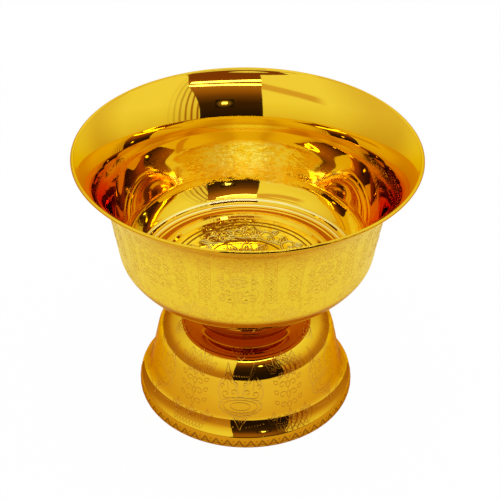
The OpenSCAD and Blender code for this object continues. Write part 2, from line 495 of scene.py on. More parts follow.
def wrapped(name: str, model: bpy.types.Object, outline: Outline, origin: float, bearings: Iterable[float],
            lift: float = 0.0, run: float = -1.0, right: bool = False,
            sharp: float = 38.0) -> bpy.types.Object:
    """Lays copies of a flat piece on a turned surface.

    Args:
        name: Name of the new object.
        model: Flat piece; it is removed at the end.
        outline: Outline of the surface, whose left-hand side is the piece's upper side.
        origin: Length along the outline at the piece's y = 0.
        bearings: Where each copy goes round the axis, in degrees from the front.
        lift: How far the copies are moved along the surface's normal.
        run: 1 where +y runs on along the outline, and -1 where it runs back.
        right: Whether the surface is on the outline's right-hand side instead.
        sharp: Degrees between two faces from which their edge stays sharp.

    Returns:
        All copies as one object, with its place in its mesh.
    """
    flat = np.empty(len(model.data.vertices) * 3)
    model.data.vertices.foreach_get("co", flat)
    flat = flat.reshape(-1, 3)
    spot, side = outline.many(origin + run * flat[:, 1])
    height = (flat[:, 2] + lift) * (-1.0 if right else 1.0)
    radius = spot[:, 0] + side[:, 0] * height
    level = spot[:, 1] + side[:, 1] * height
    spread = flat[:, 0] / np.maximum(spot[:, 0], 1.0)
    # rise runs from 0 at a line's foot to 1 at its crest; the chasing finishes paint shade and highlight by
    # it.
    rise = model.data.attributes.new("rise", "FLOAT", "POINT")
    rise.data.foreach_set("value", np.clip(flat[:, 2] / flat[:, 2].max(), 0.0, 1.0))
    copies = []
    for bearing in bearings:
        angle = spread + math.radians(bearing) - math.pi / 2
        place = np.column_stack((radius * np.cos(angle), radius * np.sin(angle), level)) * MM
        copy = model.copy()
        copy.data = model.data.copy()
        copy.data.vertices.foreach_set("co", place.ravel())
        bpy.context.scene.collection.objects.link(copy)
        copies.append(copy)
    pick(copies[0])
    for copy in copies:
        copy.select_set(True)
    bpy.ops.object.join()
    piece = bpy.context.view_layer.objects.active
    piece.name = name
    piece.data.name = name
    bpy.data.objects.remove(model)
    bpy.ops.object.mode_set(mode="EDIT")
    bpy.ops.mesh.select_all(action="SELECT")
    bpy.ops.mesh.normals_make_consistent(inside=False)
    bpy.ops.object.mode_set(mode="OBJECT")
    bpy.ops.object.shade_smooth_by_angle(angle=math.radians(sharp))
    return piece


# ---- Material helpers ----------------------------------------------------------------------------


class Wire:
    """Output socket of a shader node, with Python's operators for its maths."""

    def __init__(self, shader: "Shader", socket: bpy.types.NodeSocket) -> None:
        """Wraps a socket of a node in the shader."""
        self.shader = shader
        self.socket = socket

    def _math(self, operation: str, *values: "Wire | float") -> "Wire":
        """Result of a Math node."""
        return self.shader.node("ShaderNodeMath", {"operation": operation}, dict(enumerate(values)))

    def __add__(self, other: "Wire | float") -> "Wire":
        """self + other."""
        return self._math("ADD", self, other)

    __radd__ = __add__

    def __sub__(self, other: "Wire | float") -> "Wire":
        """self - other."""
        return self._math("SUBTRACT", self, other)

    def __rsub__(self, other: float) -> "Wire":
        """other - self."""
        return self._math("SUBTRACT", other, self)

    def __mul__(self, other: "Wire | float") -> "Wire":
        """self * other."""
        return self._math("MULTIPLY", self, other)

    __rmul__ = __mul__

    def __truediv__(self, other: "Wire | float") -> "Wire":
        """self / other."""
        return self._math("DIVIDE", self, other)

    def __rtruediv__(self, other: float) -> "Wire":
        """other / self."""
        return self._math("DIVIDE", other, self)

    def maximum(self, other: "Wire | float") -> "Wire":
        """Larger of the two."""
        return self._math("MAXIMUM", self, other)

    def size(self) -> "Wire":
        """Value without its sign."""
        return self._math("ABSOLUTE", self)

    def root(self) -> "Wire":
        """Square root."""
        return self._math("SQRT", self)

    def wave(self) -> "Wire":
        """Sine of the value in radians."""
        return self._math("SINE", self)

    def bearing(self, across: "Wire") -> "Wire":
        """Angle in degrees whose sine is in proportion to self and its cosine to across."""
        return self._math("ARCTAN2", self, across) * math.degrees(1.0)

    def smooth(self, low: float, high: float) -> "Wire":
        """0 below low, 1 above high, with a soft step between."""
        return self.shader.node("ShaderNodeMapRange", {"interpolation_type": "SMOOTHSTEP"},
                                {"Value": self, "From Min": low, "From Max": high})

    def step(self, middle: float, fade: float) -> "Wire":
        """Soft step about a middle, both given in millimetres, of a length in metres."""
        return self.smooth((middle - fade) * MM, (middle + fade) * MM)


class Blend(Enum):
    """Ways to mix two colours, by Blender's names."""

    MIX = "MIX"
    MULTIPLY = "MULTIPLY"


class Shader:
    """Node tree of one material, or of the world."""

    def __init__(self, owner: "bpy.types.Material | bpy.types.World") -> None:
        """Empties the owner's node tree.

        Args:
            owner: What the nodes are for.
        """
        owner.use_nodes = True
        self.tree = owner.node_tree
        self.tree.nodes.clear()

    def node(self, kind: str, settings: "dict | None" = None, inputs: "dict | None" = None,
             output: "str | int | None" = 0) -> "Wire | None":
        """Adds a node.

        Args:
            kind: Blender's node type.
            settings: Properties of the node, such as a Math node's operation.
            inputs: Values or wires by socket name or number.
            output: Name or number of the output to return, or None where the node has none.

        Returns:
            The chosen output.
        """
        made = self.tree.nodes.new(kind)
        for key, value in (settings or {}).items():
            if key == "stops":
                for _ in value[2:]:
                    made.color_ramp.elements.new(0.5)
                for stop, (place, colour) in zip(made.color_ramp.elements, value):
                    stop.position = place
                    stop.color = (*colour, 1.0)
            else:
                setattr(made, key, value)
        for key, value in (inputs or {}).items():
            if isinstance(value, Wire):
                self.tree.links.new(value.socket, made.inputs[key])
            else:
                made.inputs[key].default_value = value
        return None if output is None else Wire(self, made.outputs[output])

    def ramp(self, value: Wire, stops: "Sequence[tuple[float, Colour]]") -> Wire:
        """Colour that runs through stops, as the value runs over them.

        Args:
            value: What the colour follows.
            stops: Values, lowest first, each with its colour.

        Returns:
            The colour.
        """
        low, high = stops[0][0], stops[-1][0]
        share = self.node("ShaderNodeMapRange", {}, {"Value": value, "From Min": low, "From Max": high})
        return self.node("ShaderNodeValToRGB", {"stops": [((v - low) / (high - low), c) for v, c in stops]},
                         {0: share})

    def mix(self, share: "Wire | float", first: "Wire | Colour", second: "Wire | Colour",
            blend: Blend = Blend.MIX) -> Wire:
        """Mix of two colours.

        Args:
            share: How much of the second is mixed in.
            first: Colour that it is mixed into.
            second: Colour that is mixed in.
            blend: Way that they are mixed.

        Returns:
            The mixed colour.
        """
        return self.node("ShaderNodeMix", {"data_type": "RGBA", "blend_type": blend.value}, {
            0: share, 6: first if isinstance(first, Wire) else (*first, 1.0),
            7: second if isinstance(second, Wire) else (*second, 1.0)}, output=2)

    def noise(self, place: Wire, scale: float, detail: float, distortion: float = 0.0) -> Wire:
        """Noise texture, from 0 to 1."""
        return self.node("ShaderNodeTexNoise", inputs={
            "Vector": place, "Scale": scale, "Detail": detail, "Distortion": distortion})

    def bump(self, height: Wire, strength: "Wire | float", distance: float,
             under: "Wire | None" = None) -> Wire:
        """Normal that a height tilts.

        Args:
            height: The height.
            strength: Share of the tilt that is kept.
            distance: Metres that a height of 1 stands for.
            under: Normal that it tilts, where that isn't the surface's own.

        Returns:
            The tilted normal.
        """
        below = {} if under is None else {"Normal": under}
        return self.node("ShaderNodeBump", inputs={
            "Height": height, "Strength": strength, "Distance": distance, **below})

    def place(self) -> tuple[Wire, Wire, Wire, Wire]:
        """Object coordinates, in metres.

        Returns:
            The place as a vector, and its X, Y and Z.
        """
        vector = self.node("ShaderNodeTexCoord", output="Object")
        made = self.node("ShaderNodeSeparateXYZ", inputs={0: vector}).socket.node
        return vector, *(Wire(self, made.outputs[k]) for k in range(3))

    def finish(self, surface: Wire) -> None:
        """Joins a surface to the output."""
        owner = "World" if surface.socket.node.type == "BACKGROUND" else "Material"
        self.node(f"ShaderNodeOutput{owner}", inputs={"Surface": surface}, output=None)


# ---- Finishes ------------------------------------------------------------------------------------


@dataclass(frozen=True)
class Metal:
    """Metal finish with a cloudy polish and a fine grain. Where it is given a colour for the feet of chased
    lines, that colour is painted shade.
    """

    name: str
    colour: Colour
    edge_tint: Colour = WHITE
    roughness: float = 0.05
    cloud: float = 0.5
    cloud_size: float = 35.0
    cloudy: Spot = (0.35, 0.75)
    grain: float = 0.03
    grain_size: float = 160.0
    worn: float = 0.0
    # Painted shade at the feet of chased lines, where there is one.
    recess_shade: "Colour | None" = None
    crest: Spot = (0.12, 0.62)

    def base(self, shader: Shader) -> tuple[Wire, Wire, Wire]:
        """Colour, roughness and height of the finish.

        Args:
            shader: Node tree that they are made in.

        Returns:
            The colour, the roughness and the height of the grain.
        """
        place = shader.place()[0]
        cloud = shader.noise(place, self.cloud_size, detail=2.0)
        grain = shader.noise(place, self.grain_size, detail=1.0)
        worn = tuple(c * (1.0 - self.worn) for c in self.colour)
        colour = shader.mix(cloud.smooth(*self.cloudy), self.colour, worn)
        # Painted shade and highlight: the feet of chased lines, where rise is low, take the darker colour,
        # and their crests the lighter one.
        if self.recess_shade:
            rise = shader.node("ShaderNodeAttribute", {"attribute_name": "rise"}, output="Fac")
            colour = shader.mix(rise.smooth(*self.crest), self.recess_shade, colour)
        return colour, cloud * (2 * self.roughness * self.cloud) + self.roughness * (1 - self.cloud), grain

    def make(self) -> bpy.types.Material:
        """Builds the material.

        Returns:
            The material.
        """
        material = bpy.data.materials.new(self.name)
        shader = Shader(material)
        colour, roughness, grain = self.base(shader)
        self.coat(shader, colour, roughness, shader.bump(grain, self.grain, MM))
        return material

    def coat(self, shader: Shader, colour: Wire, roughness: Wire, normal: Wire) -> None:
        """Joins the parts of the finish to the shader's output.

        Args:
            shader: Node tree that they are in.
            colour: Colour of the metal.
            roughness: Its roughness.
            normal: Its normal.
        """
        shader.finish(shader.node("ShaderNodeBsdfPrincipled", inputs={
            "Base Color": colour, "Metallic": 1.0, "Roughness": roughness,
            "Specular Tint": (*self.edge_tint, 1.0), "Normal": normal}))


@dataclass(frozen=True)
class PressedGold(Metal):
    """Polished plating whose wall shows, from inside, the chasing of its other face.

    The pressed band lies between the heights low and high, and fades away to both sides. Its share aside is
    0 at the back and the front of the bowl, and 1 at its sides. Its colour holds painted light: the floor is
    painted lighter, the band is painted orange low down and pale higher up with painted glints on its dents,
    and the ledge's ridges carry painted highlights.
    """

    low: float = 111.0
    low_fade: float = 3.0
    high: float = 138.0
    high_fade: float = 4.0
    aside: Spot = (0.02, 0.80)
    upper_from: float = 6.0
    dent: float = 0.30
    dent_size: float = 260.0
    dent_stretch: Place = (0.8, 0.8, 1.3)
    dent_aside: Spot = (0.10, 0.36)
    dent_crest: Spot = (0.40, 0.56)
    dent_roughness: float = 0.05
    # Painted light: the share of painted glints low in the band, the lit tone of the floor and the band's
    # top, the darker orange tone of the band's foot in painted shade, and the colour of the painted glints.
    low_glint: float = 0.35
    tilt: float = 0.14
    bright: Colour = (1.0, 0.80, 0.12)
    painted_shade_tone: Colour = (1.0, 0.66, 0.07)
    painted_glint: Colour = (1.0, 0.95, 0.50)
    # Painted light: how far and how much the bowl's floor is painted lighter.
    floor_fade: float = 3.0
    floor_light_share: float = 0.8
    ring_in: float = 55.5
    ring_out: float = 74.0
    ring_fade: float = 2.0
    # Painted highlights on the crests of the ledge's ridges.
    ring_crest: Spot = (0.0, 0.9)
    ring_glint_share: float = 0.8

    def make(self) -> bpy.types.Material:
        """Builds the material.

        Returns:
            The material.
        """
        material = bpy.data.materials.new(self.name)
        shader = Shader(material)
        colour, roughness, grain = self.base(shader)
        place, x, y, z = shader.place()
        across = x * x + y * y
        aside = x * x / across
        zone = (1 - aside.smooth(*self.aside)) * z.step(self.low, self.low_fade) * (
            1 - z.step(self.high, self.high_fade))
        drawn = shader.node("ShaderNodeMapping", inputs={"Vector": place, "Scale": self.dent_stretch})
        dents = shader.noise(drawn, self.dent_size, detail=2.5)
        dented = dents * zone * (1 - aside.smooth(*self.dent_aside)) * self.dent
        tilted = shader.bump(z * -1, zone, self.tilt, shader.bump(grain, self.grain, MM))
        normal = shader.bump(dented, 1.0, MM, tilted)
        radius = across.root()
        # Painted light: the bowl's floor is painted lighter.
        floor = 1 - radius.smooth((FLOOR_R - self.floor_fade) * MM, FLOOR_R * MM)
        colour = shader.mix(floor * self.floor_light_share, colour, self.bright)
        # Painted light: the band is painted orange low down and lit pale higher up, with painted glints where
        # its dents crest.
        upper = z.smooth((self.low + self.upper_from) * MM, (self.high - self.upper_from) * MM)
        pressed = shader.mix(dents.smooth(*self.dent_crest) * (self.low_glint + upper * (1 - self.low_glint)),
                             shader.mix(upper, self.painted_shade_tone, self.bright), self.painted_glint)
        # Painted highlights along the crests of the ledge's ridges.
        ledge = radius.smooth(self.ring_in * MM, (self.ring_in + self.ring_fade) * MM) * (
            1 - radius.smooth((self.ring_out - self.ring_fade) * MM, self.ring_out * MM))
        crests = (radius * (math.tau / (RIDGE_PITCH * MM))).wave().smooth(*self.ring_crest)
        colour = shader.mix(ledge * crests * self.ring_glint_share, shader.mix(zone, colour, pressed), self.painted_glint)
        self.coat(shader, colour, roughness + zone * self.dent_roughness, normal)
        return material


@dataclass(frozen=True)
class PebbledGold(Metal):
    """Plating with a finely pebbled satin ground between two heights, and polished above and below it. Below
    the low height its colour is painted shade, dark red-brown.
    """

    low: float = 112.0
    low_fade: Spot = (5.0, 2.0)
    high: float = 172.0
    high_fade: float = 5.0
    satin: float = 0.24
    pebble: float = 0.34
    pebble_h: float = 0.6
    pebble_size: float = 1100.0
    pebble_soft: float = 0.6
    grain_share: float = 0.2
    hammer_size: float = 420.0
    ground: Colour = (1.0, 0.86, 0.085)
    mottle: Colour = (0.82, 0.56, 0.05)
    mottle_size: float = 330.0
    mottled: Spot = (0.50, 0.66)
    mottle_share: float = 0.52
    # Painted shade: colour of the bowl's under side, below the low height.
    under: Colour = (0.58, 0.20, 0.012)

    def make(self) -> bpy.types.Material:
        """Builds the material.

        Returns:
            The material.
        """
        material = bpy.data.materials.new(self.name)
        shader = Shader(material)
        colour, roughness, grain = self.base(shader)
        place, _, _, z = shader.place()
        above = z.smooth((self.low - self.low_fade[0]) * MM, (self.low + self.low_fade[1]) * MM)
        zone = above * (1 - z.step(self.high, self.high_fade))
        pebbles = shader.node("ShaderNodeTexVoronoi", {"feature": "SMOOTH_F1"}, {
            "Vector": place, "Scale": self.pebble_size, "Smoothness": self.pebble_soft})
        hammer = shader.noise(place, self.hammer_size, detail=2.0)
        curls = shader.noise(place, self.mottle_size, detail=2.0, distortion=1.2)
        ground = shader.mix(curls.smooth(*self.mottled) * self.mottle_share, self.ground, self.mottle)
        # Painted shade: below the low height the colour turns to the dark under colour.
        colour = shader.mix(1 - above, shader.mix(zone, colour, ground), self.under)
        rough = (pebbles + hammer) * zone + grain * self.grain_share
        normal = shader.bump(rough, self.pebble, self.pebble_h * MM)
        self.coat(shader, colour, roughness + zone * self.satin, normal)
        return material


class Finish(Enum):
    """All the object's finishes."""

    PLATED = Metal("gold_tone_plating", GOLD, GOLD_EDGE, roughness=0.035, worn=0.03)
    PRESSED = PressedGold("gold_tone_inside", GOLD, GOLD_EDGE, roughness=0.03, grain=0.008, worn=0.03)
    PEBBLED = PebbledGold("gold_tone_satin", (0.88, 0.62, 0.055), WHITE, roughness=0.05, worn=0.05)
    # The four chasing and relief finishes that follow hold painted light: their colour, lighter than the
    # plating's, is a painted highlight on the lines' crests, and their darker colour at the lines' feet is
    # painted shade.
    CHASED = Metal("gold_tone_chasing", (1.0, 0.78, 0.16), GOLD_EDGE, roughness=0.12, worn=0.08,
                   recess_shade=(0.66, 0.34, 0.03))
    BAND_CHASED = Metal("gold_tone_band_chasing", (1.0, 0.74, 0.12), GOLD_EDGE, roughness=0.14, worn=0.08,
                        recess_shade=(0.22, 0.07, 0.008))
    WALL_CHASED = Metal("gold_tone_wall_chasing", (1.0, 0.86, 0.14), WHITE, roughness=0.2, worn=0.08,
                        recess_shade=(0.84, 0.58, 0.07))
    RELIEF = Metal("gold_tone_relief", (1.0, 0.86, 0.20), (1.0, 0.8, 0.3), roughness=0.4, worn=0.05,
                   recess_shade=(0.36, 0.15, 0.01))
    # Painted shade: the neck's darker copper tone stands for the shade under the bowl.
    NECK = Metal("gold_tone_neck_painted_shade", (0.70, 0.34, 0.02), (0.9, 0.5, 0.1), roughness=0.12, worn=0.1)
    BRASS = Metal("plain_brass", (0.55, 0.38, 0.14), (1.0, 0.9, 0.6), roughness=0.32, cloud_size=60.0,
                  grain=0.12, grain_size=500.0, worn=0.25)
    STEEL = Metal("zinc_plated_steel", (0.60, 0.60, 0.58), roughness=0.28, cloud_size=90.0, grain=0.1,
                  grain_size=700.0, worn=0.2)


# ---- Spun parts ------------------------------------------------------------------------------------


@dataclass
class Bowl:
    """Spun bowl with its floor, rib, ledge, cove, wall, flared lip and bead."""

    rim_r: float = 110.0
    total_h: float = 185.0
    sheet: float = 0.9
    floor_z: float = 96.0
    floor_r: float = FLOOR_R
    rib_in: float = 1.8
    rib_h: float = 1.8
    rib_top: float = 3.2
    rib_out: float = 3.2
    rib_bend: float = 0.6
    ledge_h: float = 0.3
    ledge_r: float = 68.8
    ledge_bend: float = 7.0
    cove_mid_r: float = 76.4
    cove_mid_h: float = 6.5
    cove_mid_bend: float = 39.0
    base_r: float = 82.6
    cove_h: float = 16.0
    cove_bend: float = 18.0
    wall_lean: float = 8.8
    lip_lean: float = 50.7
    lip_bend: float = 62.0
    bead_r: float = 1.1
    bead_from: float = -70.0
    bead_turn: float = 320.0
    bead_points: int = 21
    bead_foot: float = 3.0
    downwards: float = -0.7
    ridge_pitch: float = RIDGE_PITCH
    ridge_h: float = 0.2
    ridge_in: float = 62.0
    ridge_out: float = 74.0
    ridge_fade: float = 2.0
    steps: int = 176

    def ridged(self, face: list[Vector], run: float = 0.4) -> list[Vector]:
        """Inner face with low turned ridges on the ledge round the floor and at the foot of the cove.

        Args:
            face: Points of the plain face, from the middle out.
            run: Longest straight piece between two points of the ridges.

        Returns:
            The points of the ridged face.
        """
        fade = self.ridge_fade
        stops = (self.ridge_in, self.ridge_in + fade, self.ridge_out - fade, self.ridge_out)
        points = [face[0]]
        for a, b in zip(face, face[1:]):
            near = (a.x > self.ridge_in - fade / 2 and b.x < self.ridge_out + fade / 2
                    and b.y < self.floor_z + self.cove_h)
            pieces = math.ceil((b - a).length / run) if near else 1
            side = Vector((a.y - b.y, b.x - a.x)).normalized()
            for k in range(1, pieces + 1):
                spot = a.lerp(b, k / pieces)
                share = float(np.interp(spot.x, stops, (0, 1, 1, 0))) if near else 0.0
                wave = math.sin(math.tau * spot.x / self.ridge_pitch)
                points.append(spot + side * share * self.ridge_h * wave)
        return points

    def outline(self) -> Outline:
        """Outside of the bowl.

        Returns:
            The outline, from the middle of the floor to the middle of the bead.
        """
        end = Vector((self.rim_r - self.bead_r, self.total_h - self.bead_r))
        up = Vector((math.sin(math.radians(self.wall_lean)), math.cos(math.radians(self.wall_lean))))
        out = Vector((math.sin(math.radians(self.lip_lean)), math.cos(math.radians(self.lip_lean))))
        base = Vector((self.base_r, self.floor_z + self.cove_h))
        gap = end - base
        lip = base + up * (gap.x * out.y - gap.y * out.x) / (up.x * out.y - up.y * out.x)
        rib_z, ledge_z = self.floor_z + self.rib_h, self.floor_z + self.ledge_h
        crest = self.floor_r + self.rib_in
        return Outline([
            Corner(0.0, self.floor_z),
            Corner(self.floor_r, self.floor_z, self.rib_bend + self.sheet),
            Corner(crest, rib_z, self.rib_bend),
            Corner(crest + self.rib_top, rib_z, self.rib_bend),
            Corner(crest + self.rib_top + self.rib_out, ledge_z, self.rib_bend + self.sheet),
            Corner(self.ledge_r, ledge_z, self.ledge_bend + self.sheet),
            Corner(self.cove_mid_r, self.floor_z + self.cove_mid_h, self.cove_mid_bend),
            Corner(base.x, base.y, self.cove_bend),
            Corner(lip.x, lip.y, self.lip_bend),
            Corner(end.x, end.y)])

    def make(self, inside: bpy.types.Material, outside: bpy.types.Material) -> bpy.types.Object:
        """Builds the shell and dresses its two faces.

        Args:
            inside: Material of the inner face.
            outside: Material of the outer face.

        Returns:
            The shell.
        """
        outer = self.outline()
        inner = self.ridged(outer.beside(self.sheet))
        tip = outer.points[-1]
        along = (tip - outer.points[-2]).normalized()
        start = math.atan2(-along.x, along.y) - math.pi / 2
        last = self.bead_points - 1
        sweep = [start + math.radians(self.bead_from + self.bead_turn * k / last) for k in range(last + 1)]
        bead = [tip + self.bead_r * Vector((math.cos(a), math.sin(a))) for a in sweep]
        piece = spun("bowl_sheet", outer.points[:-1] + bead + inner[:-1][::-1], self.steps)
        piece.data.materials.append(inside)
        piece.data.materials.append(outside)
        for face in piece.data.polygons:
            middle = face.center / MM
            radius = math.hypot(middle.x, middle.y)
            outwards = face.normal.x * middle.x + face.normal.y * middle.y > 0
            if radius < self.rim_r - self.bead_foot and (outwards or face.normal.z < self.downwards):
                face.material_index = 1
        return piece


@dataclass
class Foot:
    """Spun bell foot with its seat, dome, wall, flare, band and hem."""

    sheet: float = 1.0
    hole_r: float = 3.3
    neck_flange_r: float = 34.0
    seat_gap: float = 0.3
    seat_depth: float = 2.4
    seat_root: float = 0.4
    seat_lean: float = 0.9
    seat_bend: float = 1.0
    dome_z: float = 62.1
    dome_bend: float = 21.0
    flare_r: float = 66.3
    flare_z: float = 14.1
    lean: float = 11.8
    flare_bend: float = 19.0
    band_r: float = 73.4
    band_h: float = 8.6
    band_in: float = 0.9
    belly_z: float = 4.2
    belly_bend: float = 6.0
    band_step: float = 0.3
    step_h: float = 0.4
    band_bend: float = 0.4
    edge_in: float = 0.4
    edge_bend: float = 0.3
    hem_r: float = 66.0
    steps: int = 176

    def outline(self) -> Outline:
        """Outside of the foot.

        Returns:
            The outline, from the rod's hole over the dome to the hem.
        """
        seat_r = self.neck_flange_r + self.seat_gap
        seat_z = self.dome_z - self.seat_depth
        shoulder_r = self.flare_r - (self.dome_z - self.flare_z) * math.tan(math.radians(self.lean))
        return Outline([
            Corner(self.hole_r, seat_z),
            Corner(seat_r, seat_z, self.seat_root),
            Corner(seat_r + self.seat_lean, self.dome_z, self.seat_bend + self.sheet),
            Corner(shoulder_r, self.dome_z, self.dome_bend),
            Corner(self.flare_r, self.flare_z, self.flare_bend),
            Corner(self.band_r - self.band_in - self.band_step, self.band_h + self.step_h, self.band_bend),
            Corner(self.band_r - self.band_in, self.band_h, self.band_bend + self.sheet),
            Corner(self.band_r, self.belly_z, self.belly_bend),
            Corner(self.band_r - self.edge_in, 0.0, self.edge_bend + self.sheet),
            Corner(self.hem_r, 0.0)])

    def make(self, finish: bpy.types.Material) -> bpy.types.Object:
        """Builds the shell and dresses it.

        Args:
            finish: Its material.

        Returns:
            The shell.
        """
        piece = spun("foot_sheet", self.outline().sheet(-self.sheet), self.steps)
        dress(piece, finish)
        return piece


@dataclass
class Neck:
    """Spun spool between the foot and the bowl."""

    sheet: float = 1.0
    flange_r: float = 34.0
    waist_r: float = 26.5
    throat: float = 1.5
    bend: float = 9.0
    waist_bend: float = 27.0
    low: float = 59.7
    high: float = 96.0
    steps: int = 128

    def make(self, finish: bpy.types.Material) -> bpy.types.Object:
        """Builds the spool and dresses it.

        Args:
            finish: Its material.

        Returns:
            The spool.
        """
        throat = self.waist_r + self.throat
        path = Outline([
            Corner(self.flange_r, self.low + self.sheet),
            Corner(throat, self.low + self.sheet, self.bend),
            Corner(self.waist_r, (self.low + self.high) / 2, self.waist_bend),
            Corner(throat, self.high - self.sheet, self.bend),
            Corner(self.flange_r, self.high - self.sheet)])
        piece = spun("neck_sheet", path.sheet(self.sheet), self.steps)
        dress(piece, finish)
        return piece


# ---- Chasing -------------------------------------------------------------------------------------


@dataclass
class FootChasing:
    """Chased ornament of the foot: pointed medallions, leaf sprays, flames and the band of triangles."""

    outline: Outline
    origin_z: float = 33.0
    dome_r: float = 50.0
    band_top: float = 7.8
    medallions: int = 6
    first: float = -3.0
    rise: float = 0.2
    bold: float = 1.25
    triangles: int = 60
    triangle_h: float = 6.3
    triangle_w: float = 7.6

    def medallion(self) -> Motif:
        """Pointed medallion: cartouche, pendant, two leaves over the shoulder and a heart on the dome.

        Returns:
            The drawing.
        """
        m = Motif(0.75)
        m.ring(0.0, -4.6, 13.2, 6.6, lobes=14, deep=0.1, points=42)
        m.ring(0.0, -4.4, 11.2, 5.0, points=28, width=0.55)
        m.ring(0.0, -4.2, 6.6, 3.0, points=20, width=0.5)
        for k in range(-4, 5):
            m.leaf(k * 2.3, -8.6 + abs(k) * 0.22, 2.6, 1.9, bearing=-90 + k * 9, rib=False, width_mm=0.45)
        for x, y, r, start, turn in ((9.6, 4.6, 3.2, -120, 400), (4.4, 6.0, 2.6, 200, -380),
                                     (11.6, 10.6, 2.0, -90, 330), (3.6, 12.4, 1.9, 250, -330)):
            m.scroll(x, y, r, start, turn, mirror=True, width=0.55)
        m.curve([(12.8, -1.0), (14.6, 5.0), (13.6, 12.0), (10.2, 18.5), (8.6, 27.0)], mirror=True,
                ends=(1.0, 0.4))
        m.curve([(1.2, 3.6), (2.6, 9.0), (4.6, 15.0), (6.8, 20.0), (8.6, 27.0)], mirror=True, ends=(1.0, 0.4))
        m.curve([(8.0, 7.5), (8.6, 13.0), (8.4, 21.0)], mirror=True, ends=(0.8, 0.4), width=0.55)
        m.curve([(5.4, 12.5), (8.5, 16.0), (11.6, 12.5)], mirror=True, ends=(0.7, 0.7), width=0.5)
        m.curve([(6.6, 17.5), (8.5, 20.5), (10.2, 17.5)], mirror=True, ends=(0.7, 0.7), width=0.5)
        m.line([(-8.0, 1.9), (0.0, 2.2), (8.0, 1.9)], width=0.5)
        m.line([(5.2, -11.4), (2.4, -16.2), (0.0, -21.2), (-2.4, -16.2), (-5.2, -11.4)])
        for x in (0.0, 1.5, -1.5, 3.0, -3.0):
            m.line([(x, -11.6), (x * 0.55, -17.6 + abs(x))], ends=(1.0, 0.5), width=0.45)
        m.beads([(-6.0, 18.1), (6.0, 18.1)], 0.55, 1.7)
        m.beads([(4.4, -19.4), (11.0, -18.2), (16.5, -17.0)], 0.55, 1.9)
        m.beads([(-4.4, -19.4), (-11.0, -18.2), (-16.5, -17.0)], 0.55, 1.9)
        m.curve([(0.0, 28.6), (3.4, 32.0), (6.4, 35.2), (5.4, 38.2), (2.4, 38.4), (0.0, 36.2)], mirror=True)
        m.curve([(0.0, 30.8), (2.4, 33.4), (3.8, 35.6)], mirror=True, width=0.5)
        for x, y in ((0.0, 33.2), (1.7, 35.3), (-1.7, 35.3)):
            m.bead(x, y, 0.6)
        return m

    def spray(self) -> Motif:
        """Leaf spray between two medallions: scales on the shoulder, scrolls on the wall, three flames.

        Returns:
            The drawing.
        """
        m = Motif(0.7)
        for x, y, length, width, bearing in ((0.0, 21.5, 10.5, 6.4, 90), (-4.2, 20.5, 9.5, 5.4, 112),
                                             (4.2, 20.5, 9.5, 5.4, 68), (-7.8, 18.6, 8.0, 4.6, 128),
                                             (7.8, 18.6, 8.0, 4.6, 52)):
            m.leaf(x, y, length, width, bearing)
            m.leaf(x, y, length * 0.6, width * 0.55, bearing, rib=False, width_mm=0.45)
        m.leaf(0.0, 19.4, 7.0, 4.4, -90)
        m.leaf(3.2, 18.0, 5.4, 3.4, -62, hook=0.15)
        m.leaf(-3.2, 18.0, 5.4, 3.4, -118, hook=-0.15)
        for y, r in ((8.6, 3.0), (1.2, 3.2), (-6.6, 2.8)):
            m.scroll(4.0, y, r, 200, -400, mirror=True, width=0.55)
            m.leaf(0.0, y - 2.6, 5.4, 2.8, 90, rib=False, width_mm=0.5)
            m.leaf(7.2, y + 1.4, 4.2, 2.4, 48, rib=False, width_mm=0.45)
            m.leaf(-7.2, y + 1.4, 4.2, 2.4, 132, rib=False, width_mm=0.45)
            m.bead(0.0, y + 4.2, 0.55)
        for x in (-11.6, 0.0, 11.6):
            self.flame(m, x, -18.6)
        m.beads([(-9.0, -19.3), (-2.6, -19.3)], 0.5, 1.6)
        m.beads([(2.6, -19.3), (9.0, -19.3)], 0.5, 1.6)
        for k in range(-4, 5):
            m.leaf(k * 2.5, -20.4, 4.2, 2.5, -90, rib=False, width_mm=0.5)
        return m

    @staticmethod
    def flame(m: Motif, x: float, y: float) -> None:
        """Draws one small lotus flame.

        Args:
            m: Drawing that it is part of.
            x: Where it stands across the drawing.
            y: Where it stands up the drawing.
        """
        m.leaf(x, y, 8.6, 3.4, 90)
        m.leaf(x - 0.8, y - 0.2, 6.2, 3.0, 118, rib=False, hook=0.12, width_mm=0.5)
        m.leaf(x + 0.8, y - 0.2, 6.2, 3.0, 62, rib=False, hook=-0.12, width_mm=0.5)
        m.bead(x, y + 2.8, 0.55)
        m.bead(x, y - 1.0, 0.7)

    def triangle(self) -> Motif:
        """One nested triangle of the band, with its beads.

        Returns:
            The drawing.
        """
        m = Motif(1.0)
        half, tall = self.triangle_w / 2, self.triangle_h
        m.line([(-half, -tall), (0.0, -0.3), (half, -tall)])
        m.line([(-half * 0.42, -tall * 0.74), (half * 0.42, -tall * 0.74)], width=2.4)
        m.bead(0.0, -tall * 0.82, 0.6)
        m.bead(half, -tall * 0.18, 0.5)
        return m

    def make(self, finish: bpy.types.Material, band_finish: bpy.types.Material) -> list[bpy.types.Object]:
        """Builds the ornament as a few pieces.

        Args:
            finish: Material of the medallions and sprays.
            band_finish: Material of the triangles.

        Returns:
            The pieces.
        """
        wall = self.outline.length_at(lambda r, z: r > self.dome_r and z < self.origin_z)
        band = self.outline.length_at(lambda r, z: r > self.dome_r and z < self.band_top)
        pitch = 360 / self.medallions
        first = [self.first + pitch * k for k in range(self.medallions)]
        between = [bearing + pitch / 2 for bearing in first]
        edge = [self.first + 360 / self.triangles * k for k in range(self.triangles)]
        made = []
        for name, motif, bold, origin, bearings, metal in (
                ("foot_medallions", self.medallion(), self.bold, wall, first, finish),
                ("foot_leaf_sprays", self.spray(), self.bold, wall, between, finish),
                ("foot_band_triangles", self.triangle(), 1.0, band, edge, band_finish)):
            flat = motif.model(f"{name}_flat", self.rise, bold)
            piece = wrapped(name, flat, self.outline, origin, bearings)
            dress(piece, metal)
            made.append(piece)
        return made


